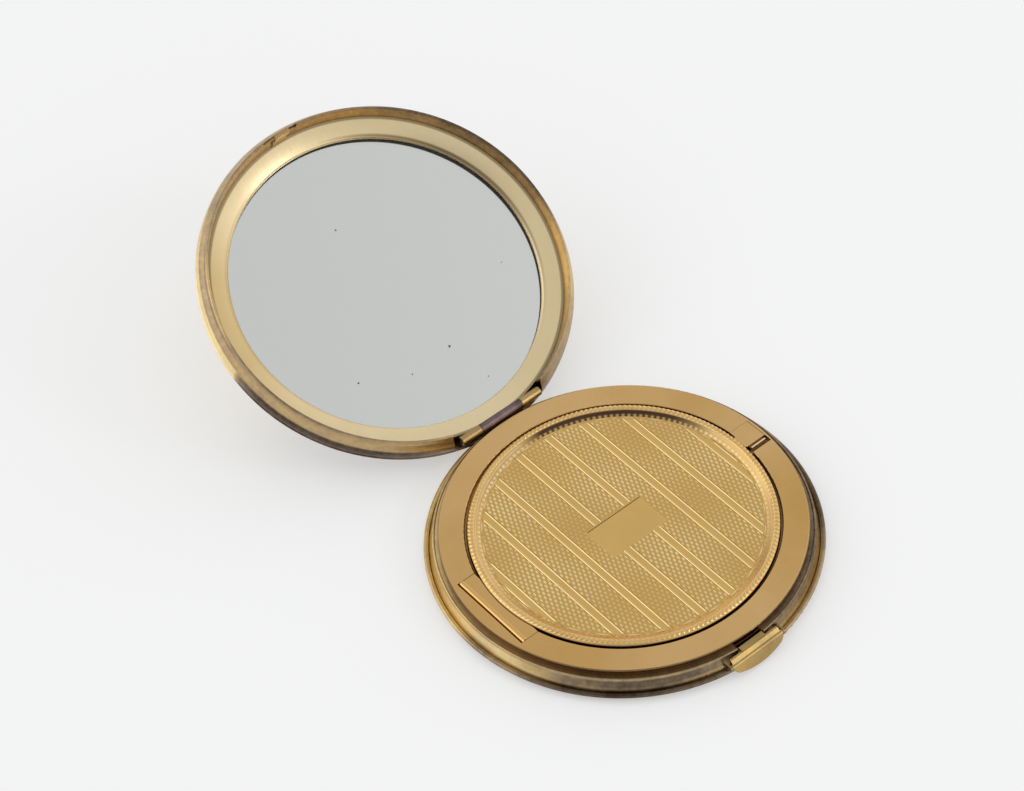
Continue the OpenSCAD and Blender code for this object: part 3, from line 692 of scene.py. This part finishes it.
def tarnish_and_shade(name, lowest_shares, *changes, lid=False):
    """Gold under tarnish and painted shade, whose depth goes by azimuth: partly real patina, partly
    painted shade and painted reflection, with a painted highlight where the depth is low.
    Each change is the pair of heights between which the depth passes to the next shares."""
    look = Look(name, lid=lid, Metallic=1.0)
    height = look.coordinate("Z")
    depth = look.around(lowest_shares)
    for passage, shares in changes:
        depth = look.mix(look.past(height, *passage), depth, look.around(shares))
    cloud = look.math("SUBTRACT", look.noise(160, detail=5, rough=0.65, seed=3), 0.5)
    speckle = look.math("SUBTRACT", look.noise(950, detail=3, rough=0.7, seed=5), 0.5)
    uneven = look.math("ADD", look.times(cloud, CLOUD_SHARE), look.times(speckle, SPECKLE_SHARE))
    look.link(look.steps(look.math("ADD", depth, uneven, clamp=True), *TARNISH_AND_SHADE_DEPTHS), "Base Color")
    scratch(look, rough=0.3, scale=COARSE_SCRATCHES)
    return look.material


def base_wall():
    return tarnish_and_shade("bronzed_wall", BASE_CREASE_SHARES,
                (BASE_SIDE_Z, BASE_SIDE_SHARES), (BASE_FOLD_Z, BASE_FOLD_SHARES))


def base_rim():
    return tarnish_and_shade("tarnished_shaded_gilt_base", BASE_BEAD_SHARES)


def lid_wall():
    return tarnish_and_shade("tarnished_shaded_wall_lid", LID_LIP_SHARES,
                (LID_SIDE_Z, LID_SIDE_SHARES), (LID_EDGE_Z, LID_EDGE_SHARES), lid=True)


def lid_rim():
    return tarnish_and_shade("tarnished_shaded_gilt_lid", LID_EDGE_SHARES, lid=True)


def worn_gold(name, light, dark):
    """Worn gilt with a few green spots of verdigris."""
    look = gilt(name, light, dark, rough=0.28, patch_scale=160)
    spots = look.steps(look.noise(420, detail=4, rough=0.6, seed=7), (0.63, 0.0), (0.68, 0.75))
    look.link(look.mix(spots, look.base_color(), VERDIGRIS), "Base Color")
    return look.material


def knuckle_gold():
    return worn_gold("worn_gold", KNUCKLE_LIGHT, KNUCKLE_DARK)


def catch_gold():
    return worn_gold("catch_gold", CATCH_LIGHT, CATCH_DARK)


def dark_knuckle():
    return gilt("dark_knuckle", MIDDLE_LIGHT, MIDDLE_DARK, rough=0.4, patch_scale=300).material


def pin_wire():
    return gilt("pin_wire", WIRE_LIGHT, WIRE_DARK, rough=0.35, patch_scale=400).material


def rope_gold():
    """The border's gold, the same as the field's mean."""
    return gilt("rope_gold", ROPE_LIGHT, ROPE_DARK, rough=0.22, patch_scale=120).material


def line_cut(look, level):
    """Painted shade in the cut outside each raised line, with none in the cartouche."""
    strips = look.math("DIVIDE", look.coordinate("X"), STRIP_PITCH * MM)
    strips = look.math("ADD", strips, STRIP_COUNT / 2)
    from_band = look.times(look.math("PINGPONG", strips, 0.5), STRIP_PITCH * MM)
    beside = look.within(from_band, CUT_IN, CUT_OUT)
    on_cartouche = look.times(look.inside("X", *CARTOUCHE_X), look.inside("Y", *CARTOUCHE_Y))
    share = look.math("SUBTRACT", CUT_SHARE, look.times(on_cartouche, CUT_SHARE))
    flat = look.math("LESS_THAN", level, 0.5)
    return look.times(beside, look.times(flat, share))


def engraved_gold():
    """Gold whose raised marks are lighter, partly their polish and partly a painted highlight, with
    painted shade in the hollows and in the cut outside each raised line.
    """
    look = Look("engraved_gold", Metallic=1.0)
    height = look.math("SUBTRACT", look.coordinate("Z"), (FIELD_TOP + SKIN_LIFT) * MM)
    level = look.math("DIVIDE", height, LINE_HEIGHT * MM)
    patch = look.patches(120, most=0.3, start=0.4, end=0.75)
    gold = look.mix(patch, look.steps(level, *ENGRAVED_SHADE_AND_HIGHLIGHT), ENGRAVED_DARK)
    look.link(look.mix(line_cut(look, level), gold, CUT_SHADE), "Base Color")
    look.link(look.steps(look.noise(1500, detail=3, rough=0.6), (0.2, 0.18), (0.8, 0.28)), "Roughness")
    return look.material


def backing_card():
    look = Look("backing_card", Roughness=0.95)
    fibres = look.noise(700, detail=6, rough=0.7)
    look.link(look.steps(fibres, (0.3, CARD_DARK), (0.7, CARD_LIGHT)), "Base Color")
    return look.material


def clear_glass():
    look = Look("clear_glass", Base_Color=(0.985, 0.99, 0.985), Roughness=0.0, IOR=1.5,
                Transmission_Weight=1.0)
    return look.material


def silver_coat():
    return Look("silver_coat", Base_Color=(0.84, 0.845, 0.835), Metallic=1.0, Roughness=0.015).material


# Pieces that are in the scene alone
def add_piece(name, mesh, material):
    piece = bpy.data.objects.new(name, mesh)
    piece.data.materials.append(material)
    bpy.context.scene.collection.objects.link(piece)
    return piece


def grid_mesh(name, points, shape, keep=None, wrap=False):
    """A mesh from a grid of points, in millimetres; keep picks the middles of the faces that stay."""
    rows, columns = shape
    index = np.arange(rows * columns).reshape(rows, columns)
    if wrap:
        index = np.vstack([index, index[:1]])
    corners = [index[:-1, :-1], index[:-1, 1:], index[1:, 1:], index[1:, :-1]]
    quads = np.stack(corners, -1).reshape(-1, 4)
    if keep:
        quads = quads[keep(points[quads].mean(axis=1))]
    used = np.unique(quads)
    renumber = np.zeros(rows * columns, int)
    renumber[used] = np.arange(len(used))
    mesh = bpy.data.meshes.new(name)
    mesh.from_pydata((points[used] * MM).tolist(), [], renumber[quads].tolist())
    mesh.polygons.foreach_set("use_smooth", [True] * len(mesh.polygons))
    return mesh


def wave(angle):
    """A wave between nought and one."""
    return 0.5 + 0.5 * np.cos(angle)


def bell(distance, width):
    """A soft bump that is one at distance zero and nought at half its width."""
    return np.where(np.abs(distance) < width / 2, wave(TURN * distance / width), 0.0)


def field_columns():
    """The places of the grid's columns across the field, closer on the raised lines."""
    half_line = LINE_WIDTH / 2
    columns = []
    for number in range(-1, STRIP_COUNT + 2):
        band = (number - STRIP_COUNT / 2) * STRIP_PITCH
        for line in (band - LINE_AT, band + LINE_AT):
            columns += [line + half_line * share for share in LINE_COLUMN_SHARES]
        start = band + LINE_AT + half_line
        end = band + STRIP_PITCH - LINE_AT - half_line
        columns += list(np.linspace(start, end, STRIP_COLUMNS)[1:-1])
        columns += [band - BAND_COLUMN_GAP, band, band + BAND_COLUMN_GAP]
    return np.array(sorted(c for c in columns if abs(c) < FIELD_R + BAND_COLUMN_GAP))


def lattice_height(x, y):
    """Height of the lattice, made of leaning strokes and the strokes that cross them."""
    lean = GRAIN_PITCH / 2 / GRAIN_ROW
    stroke = wave(TURN * (x - y * lean) / GRAIN_PITCH)
    cross = wave(TURN * (x + y * lean) / GRAIN_PITCH)
    fade = FADE_SWING_SHARE
    for per_x, per_y, phase in FADE_WAVES:
        fade = fade * np.cos(per_x * x + per_y * y + phase)
    marks = (1 - STROKE_SHARE) * stroke * cross + STROKE_SHARE * stroke
    return GRAIN_HEIGHT * (FADE_MEAN_SHARE + fade) * marks


def field_height(x, y):
    """Height of the engraved skin over the field at each point."""
    radius = np.hypot(x, y)
    strips = x / STRIP_PITCH + STRIP_COUNT / 2
    from_band = np.abs(strips - np.round(strips)) * STRIP_PITCH
    in_grain = (from_band > GRAIN_IN) & (radius < GRAIN_EDGE_R)
    in_cartouche = (
        (x > CARTOUCHE_X[0]) & (x < CARTOUCHE_X[1]) & (y > CARTOUCHE_Y[0]) & (y < CARTOUCHE_Y[1])
    )
    height = np.where(in_grain & ~in_cartouche, lattice_height(x, y), 0.0)
    lines = LINE_HEIGHT * bell(from_band - LINE_AT, LINE_WIDTH)
    height = np.where(in_cartouche | (radius > GRAIN_EDGE_R), height, np.maximum(height, lines))
    ridge = RIDGE_HEIGHT * wave(np.arctan2(y, x) * RIDGE_SWELLS) * bell(radius - RIDGE_R, RIDGE_WIDTH)
    return SKIN_LIFT + height + ridge


def on_field(middles):
    """Which faces of the field's skin stay: those inside its edge and off the cartouche's groove."""
    x, y = middles[:, 0], middles[:, 1]
    in_groove = (x > GROOVE_X[0]) & (x < GROOVE_X[1]) & (y > GROOVE_Y[0]) & (y < GROOVE_Y[1])
    return (np.hypot(x, y) < FIELD_R) & ~in_groove


def engraved_field(material):
    """The lattice, the raised lines and the ridge round them, as a skin on the powder door."""
    rows = np.arange(-FIELD_R, FIELD_R, GRAIN_ROW / GRAIN_ROW_STEPS)
    rows = np.array(sorted([*rows, *GROOVE_Y]))
    x, y = np.meshgrid(field_columns(), rows)
    points = np.stack([x, y, FIELD_TOP + field_height(x, y)], -1).reshape(-1, 3)
    mesh = grid_mesh("door_engraved_field", points, x.shape, keep=on_field)
    piece = add_piece("door_engraved_field", mesh, material)
    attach(piece, "door")


def rope_border(material):
    """The slanted ticks along the crest of the door's border."""
    turn = np.linspace(0, TURN, ROPE_AROUND, endpoint=False)
    share = np.linspace(0, 1, ROPE_ACROSS)
    turn, share = np.meshgrid(turn, share, indexing="ij")
    angle = np.radians(BORDER_FROM + (BORDER_TO - BORDER_FROM) * share)
    ticks = wave(ROPE_COUNT * turn + ROPE_SLANT * TURN * (share - 0.5)) ** 2
    edge = np.clip(np.minimum(share, 1 - share) / ROPE_EDGE_SHARE, 0, 1)
    out = BORDER_R - ROPE_SINK + (ROPE_LIFT + ROPE_HEIGHT * ticks) * edge
    radius = BORDER_CENTRE_R + out * np.cos(angle)
    height = FIELD_TOP + out * np.sin(angle)
    points = np.stack([radius * np.cos(turn), radius * np.sin(turn), height], -1).reshape(-1, 3)
    mesh = grid_mesh("door_rope_border", points, turn.shape, wrap=True)
    piece = add_piece("door_rope_border", mesh, material)
    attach(piece, "door")


def flat_mesh(name, outlines):
    """Flat faces whose outlines are given in millimetres on the closed lid."""
    points = []
    faces = []
    for outline in outlines:
        start = len(points)
        points += [LID_OPENS @ (Vector(point) * MM - HINGE_AXIS) + HINGE_AXIS for point in outline]
        faces.append(range(start, len(points)))
    mesh = bpy.data.meshes.new(name)
    mesh.from_pydata(points, [], faces)
    return mesh


def speck_outline(number, x, y, size):
    """An uneven spot on the mirror, a little in front of its bright face."""
    outline = []
    height = MIRROR_Z + FACE_DEPTH - SPECK_LIFT
    for corner in range(SPECK_CORNERS):
        turn = TURN * corner / SPECK_CORNERS
        broad = BROAD_LOBE_SHARE * math.sin(BROAD_LOBES * turn + number)
        fine = FINE_LOBE_SHARE * math.sin(FINE_LOBES * turn)
        reach = size * (1 + broad + fine)
        outline.append((x + reach * math.cos(turn), y + reach * math.sin(turn), height))
    return outline


def mirror_specks(material):
    outlines = [speck_outline(number, *speck) for number, speck in enumerate(SPECKS)]
    piece = add_piece("mirror_specks", flat_mesh("mirror_specks", outlines), material)
    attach(piece, "lid")


def mirror_face(material):
    """The silver's bright face, a little inside the glass, where the two solids share a plane."""
    turns = [TURN * corner / FACE_CORNERS for corner in range(FACE_CORNERS)]
    height = MIRROR_Z + FACE_DEPTH
    outline = [(FACE_R * math.cos(turn), FACE_R * math.sin(turn), height) for turn in turns]
    piece = add_piece("mirror_face", flat_mesh("mirror_face", [outline]), material)
    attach(piece, "lid")


def dress_nodes():
    """Gives each node its finish, and adds the pieces that are in the scene alone."""
    dark = dark_knuckle()
    silver = silver_coat()
    finishes = {
        satin_gold(): ("door_lift_spring",),
        snap_gold(): ("door_snap",),
        pan_gold(): ("powder_pan",),
        ring_gold(): ("frame_ring",),
        door_gold(): ("powder_door",),
        bezel_gold(): ("mirror_bezel",),
        knuckle_gold(): ("lid_knuckle_left", "lid_knuckle_right", "lid_catch_lug"),
        catch_gold(): ("thumb_catch",),
        base_wall(): ("base_frame", "catch_ears"),
        base_rim(): ("base_cover",),
        lid_wall(): ("lid_frame",),
        lid_rim(): ("lid_cover",),
        dark: ("base_knuckle",),
        pin_wire(): ("hinge_pin", "door_hinge_pin", "catch_pin", "catch_spring"),
        backing_card(): ("mirror_pad",),
        clear_glass(): ("mirror_glass",),
        silver: ("mirror_silvering",),
    }
    for material, names in finishes.items():
        for name in names:
            nodes[name].data.materials.clear()
            nodes[name].data.materials.append(material)
    engraved_field(engraved_gold())
    rope_border(rope_gold())
    mirror_specks(dark)
    mirror_face(silver)


bpy.context.scene.view_settings.view_transform = "Standard"
make_camera()
make_world()
make_softbox()
make_floor()
dress_nodes()
